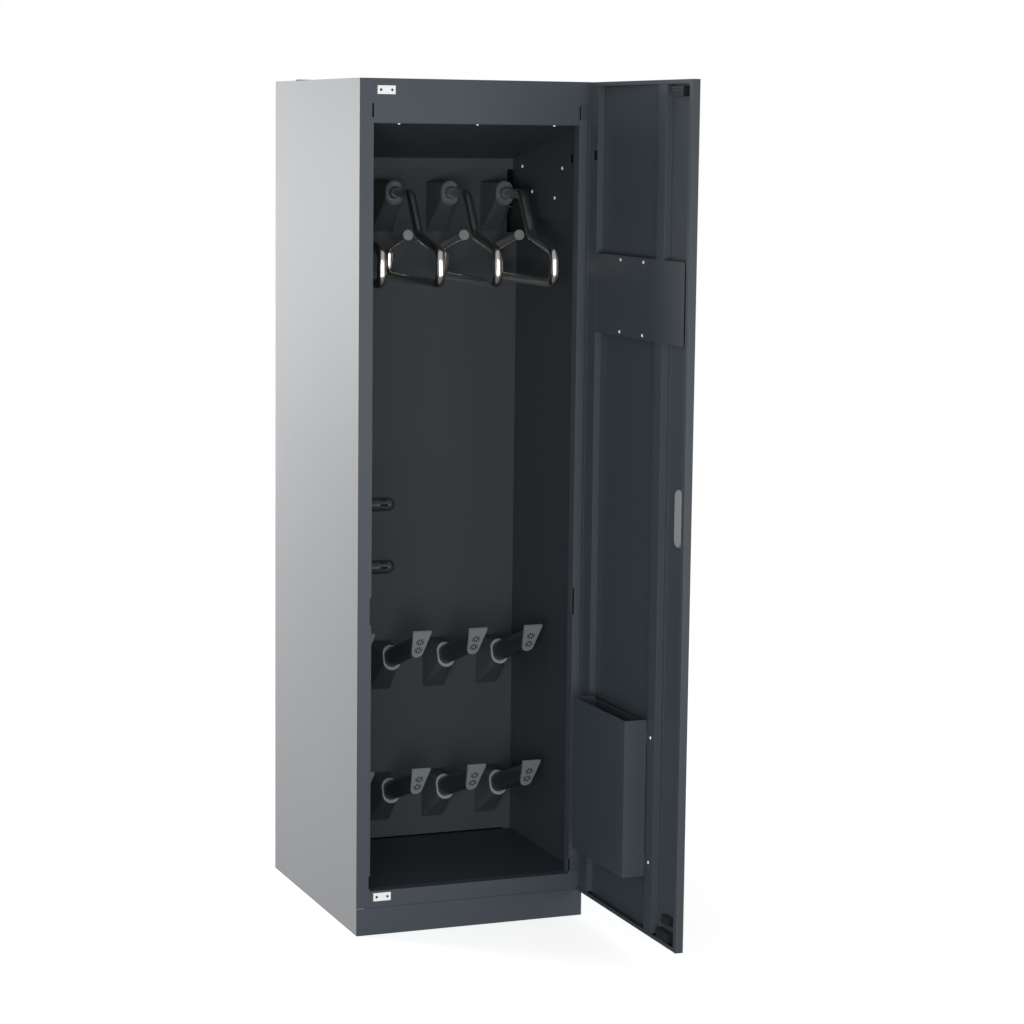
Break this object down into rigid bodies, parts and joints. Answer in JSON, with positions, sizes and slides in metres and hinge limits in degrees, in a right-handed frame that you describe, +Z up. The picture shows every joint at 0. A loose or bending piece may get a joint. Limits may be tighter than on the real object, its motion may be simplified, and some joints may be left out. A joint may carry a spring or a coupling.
{
  "type": "drying cabinet",
  "caption": "Tall sheet-steel drying cabinet with its single door open, blown hanger tubes under the ceiling and angled heated shoe holders low on the back panel.",
  "frame": {"origin": "on the floor, at the middle of the cabinet's own footprint (side panels and plinth), leaving out the open door", "axes": "+Z up, along the cabinet's height; +Y to the cabinet's back; +X to the right as seen from the front"},
  "size_m": [0.5814, 1.214, 1.955],
  "materials": {
    "light_grey_shell": "satin powder coat, light grey",
    "anthracite_front": "satin powder coat, anthracite",
    "anthracite_inner": "satin powder coat, anthracite",
    "anthracite_door": "satin powder coat, anthracite",
    "light_trim": "fine-grained, light grey",
    "handle_grey": "fine-grained, mid grey",
    "gloss_black_tube": "high gloss, black",
    "dark_plastic": "semi-matt, anthracite",
    "white_fittings": "satin, white",
    "plated_steel": "bright zinc plating",
    "black_plastic": "semi-matt, black",
    "galvanised": "galvanised sheet steel",
    "motor_black": "black enamel",
    "heater_steel": "heat-tinted steel",
    "filter_foam": "open filter mat",
    "board_housing": "moulded housing"
  },
  "bodies": {
    "cabinet": {"side_panel_left": "light_grey_shell", "side_panel_right": "light_grey_shell", "rear_panel": "light_grey_shell", "roof_panel": "anthracite_front", "floor_tray": "anthracite_inner", "base_brace": "anthracite_inner", "plinth": "anthracite_front", "stile_left": "anthracite_front", "stile_right": "anthracite_front", "fascia": "anthracite_front", "bottom_rail": "anthracite_front", "ceiling_panel": "anthracite_inner", "cover_plate_left": "anthracite_inner", "cover_plate_right": "anthracite_inner", "back_ledge": "anthracite_inner", "duct_panel": "anthracite_inner", "back_panel": "anthracite_inner", "hanger_ducts": "anthracite_inner", "hanger_bezels": "light_trim", "shoe_ducts": "anthracite_inner", "shoe_rings": "light_trim", "shoe_tubes": "dark_plastic", "heel_plates": "light_trim", "glove_nozzles": "dark_plastic", "catch_plates": "white_fittings", "plate_screws": "plated_steel", "cabinet_rivets": "white_fittings", "hinge_frame_leaves": "anthracite_door", "plenum_shelf": "galvanised", "blower_housing": "galvanised", "fan_motor": "motor_black", "heater_frame": "galvanised", "heater_rods": "heater_steel", "air_filter": "filter_foam", "power_inlet": "black_plastic", "cable_gland": "handle_grey"},
    "door": {"door_pan": "anthracite_door", "hinge_side_box": "anthracite_door", "latch_side_hat": "anthracite_door", "door_cover": "anthracite_door", "door_pocket": "anthracite_door", "magnet_catches": "black_plastic", "handle_shell": "handle_grey", "pull_handle": "handle_grey", "control_bezel": "black_plastic", "control_module": "board_housing", "door_rivets": "white_fittings", "hinge_door_leaves": "anthracite_door", "hinge_pins": "plated_steel"},
    "hanger_1": {"hanger_1": "gloss_black_tube", "hanger_cap_1": "light_trim"},
    "hanger_2": {"hanger_2": "gloss_black_tube", "hanger_cap_2": "light_trim"},
    "hanger_3": {"hanger_3": "gloss_black_tube", "hanger_cap_3": "light_trim"},
    "hanger_4": {"hanger_4": "gloss_black_tube", "hanger_cap_4": "light_trim"},
    "impeller": {"impeller": "black_plastic"},
    "timer_knob": {"timer_knob": "handle_grey"},
    "start_button": {"start_button": "handle_grey"}
  },
  "joints": [
    {"name": "door_hinge", "type": "hinge", "parent": "cabinet", "child": "door", "pos_m": [0.275, -0.3385, 1.008], "axis": [0, 0, 1], "range_deg": [-90, 25]},
    {"name": "hanger_1_pull", "type": "slide", "parent": "cabinet", "child": "hanger_1", "axis": [0, -1, 0], "range_m": [0, 0.034]},
    {"name": "hanger_2_pull", "type": "slide", "parent": "cabinet", "child": "hanger_2", "axis": [0, -1, 0], "range_m": [0, 0.034]},
    {"name": "hanger_3_pull", "type": "slide", "parent": "cabinet", "child": "hanger_3", "axis": [0, -1, 0], "range_m": [0, 0.034]},
    {"name": "hanger_4_pull", "type": "slide", "parent": "cabinet", "child": "hanger_4", "axis": [0, -1, 0], "range_m": [0, 0.034]},
    {"name": "impeller_spin", "type": "hinge", "parent": "cabinet", "child": "impeller", "pos_m": [0, 0.2135, 1.8], "axis": [0, 1, 0], "continuous": true},
    {"name": "timer_knob_turn", "type": "hinge", "parent": "door", "child": "timer_knob", "pos_m": [0.283, -0.6795, 1.476], "axis": [1, 0, 0], "range_deg": [-300, 0]},
    {"name": "start_button_press", "type": "slide", "parent": "door", "child": "start_button", "axis": [-1, 0, 0], "range_m": [0, 0.002], "stiffness_N_per_m": 800}
  ]
}
